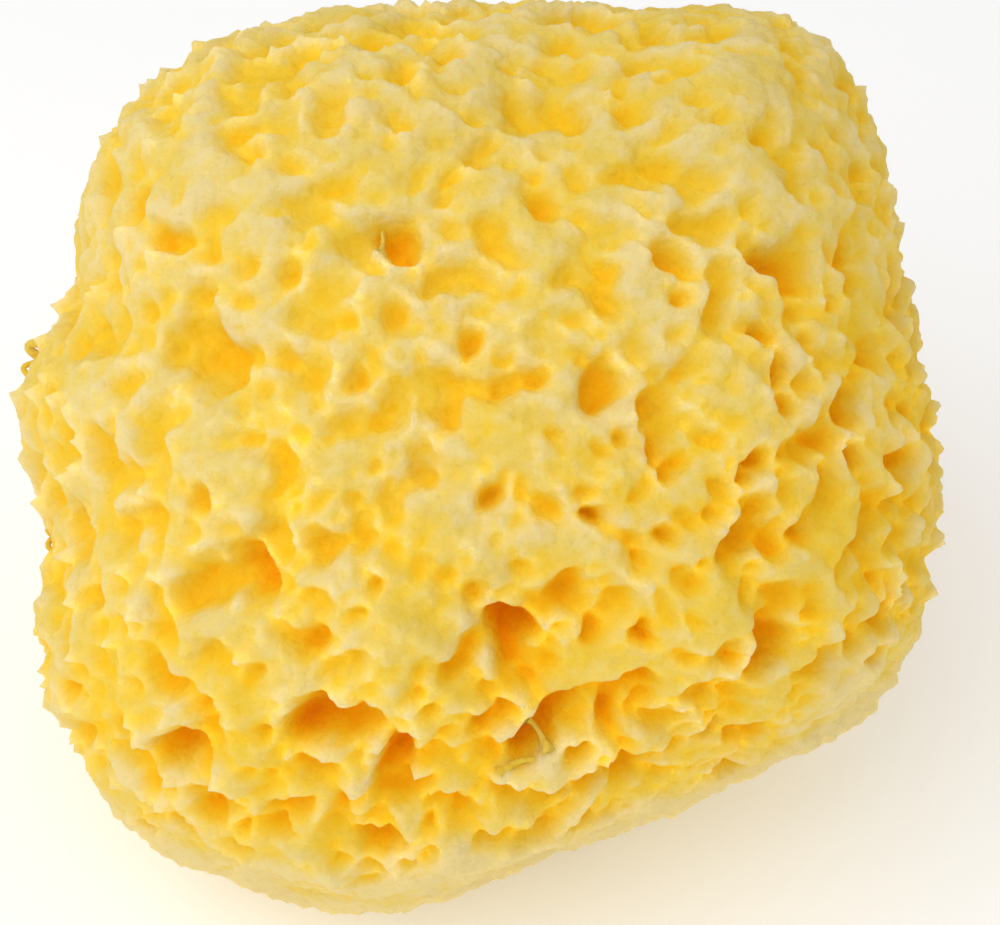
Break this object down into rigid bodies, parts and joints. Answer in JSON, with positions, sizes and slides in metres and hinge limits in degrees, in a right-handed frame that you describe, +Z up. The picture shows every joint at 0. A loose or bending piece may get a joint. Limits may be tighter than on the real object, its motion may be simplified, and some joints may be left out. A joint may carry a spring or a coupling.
{
  "type": "sea sponge",
  "caption": "Rounded natural bath sponge with an open honeycomb of mouths and ridges, cut flat underneath to rest on.",
  "frame": {"origin": "the middle of the object's box, on the plane of the flat cut base", "axes": "+Z up off the cut base, +X along the broad side, -Y towards the broad face with the landmark mouths"},
  "size_m": [0.1348, 0.1274, 0.1174],
  "materials": {
    "spongin": "matte"
  },
  "bodies": {
    "root": {"sponge": "spongin"}
  },
  "joints": []
}
